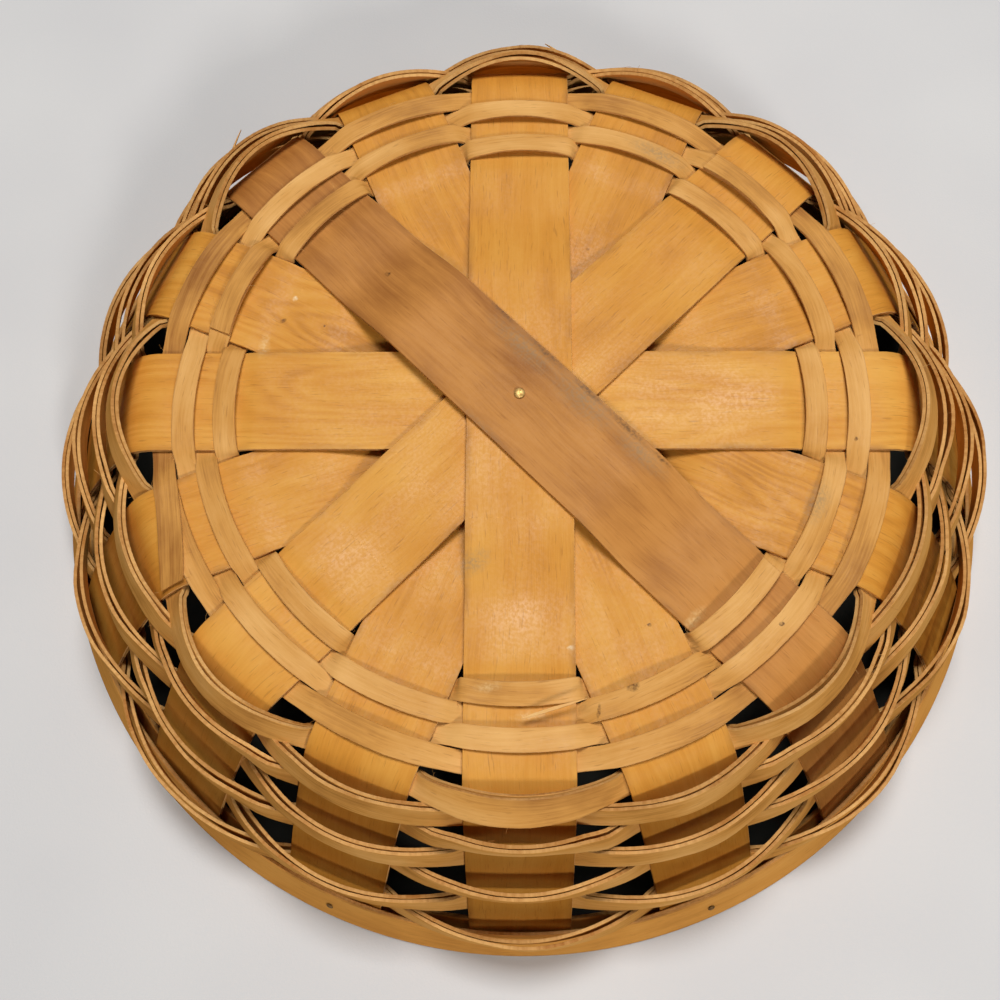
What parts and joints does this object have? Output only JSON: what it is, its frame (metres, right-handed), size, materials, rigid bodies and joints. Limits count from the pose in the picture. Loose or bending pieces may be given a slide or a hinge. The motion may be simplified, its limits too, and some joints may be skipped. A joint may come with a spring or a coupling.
{
  "type": "pie basket",
  "caption": "Round shallow woven wood-splint basket for carrying a pie, with a flat radial base, flaring woven side and a hooped rim, standing upside down on its rim.",
  "frame": {"origin": "centre of the rim's foot, in the plane that the basket stands on upside down", "axes": "+Z from the rim to the underside of the base, +X and +Y along two of the upper splints; turn the part over to use it"},
  "size_m": [0.3052, 0.3052, 0.0768],
  "materials": {
    "splint_wood": "varnished",
    "top_splint_wood": "varnished",
    "weaver_wood": "varnished",
    "rim_wood": "varnished",
    "brass": "polished",
    "steel": "dull"
  },
  "bodies": {
    "root": {"splint_1_outer": "top_splint_wood", "splint_1_inner": "top_splint_wood", "splint_2_outer": "splint_wood", "splint_2_inner": "splint_wood", "splint_3_outer": "splint_wood", "splint_3_inner": "splint_wood", "splint_4_outer": "splint_wood", "splint_4_inner": "splint_wood", "splint_5_outer": "splint_wood", "splint_5_inner": "splint_wood", "splint_6_outer": "splint_wood", "splint_6_inner": "splint_wood", "splint_7_outer": "splint_wood", "splint_7_inner": "splint_wood", "splint_8_outer": "splint_wood", "splint_8_inner": "splint_wood", "base_weaver_1": "weaver_wood", "base_weaver_2": "weaver_wood", "base_weaver_3": "weaver_wood", "base_weaver_4": "weaver_wood", "side_weaver_1_outer": "weaver_wood", "side_weaver_1_inner": "weaver_wood", "side_weaver_2_outer": "weaver_wood", "side_weaver_2_inner": "weaver_wood", "side_weaver_3_outer": "weaver_wood", "side_weaver_3_inner": "weaver_wood", "side_weaver_4_outer": "weaver_wood", "side_weaver_4_inner": "weaver_wood", "side_weaver_5_outer": "weaver_wood", "side_weaver_5_inner": "weaver_wood", "side_weaver_6_outer": "weaver_wood", "side_weaver_6_inner": "weaver_wood", "side_weaver_7_outer": "weaver_wood", "side_weaver_7_inner": "weaver_wood", "rim_hoop_outer": "rim_wood", "rim_hoop_inner": "rim_wood", "centre_tack": "brass", "rim_brad_1": "steel", "rim_brad_2": "steel", "rim_brad_3": "steel", "rim_brad_4": "steel", "rim_brad_5": "steel", "rim_brad_6": "steel", "rim_brad_7": "steel", "rim_brad_8": "steel"}
  },
  "joints": []
}
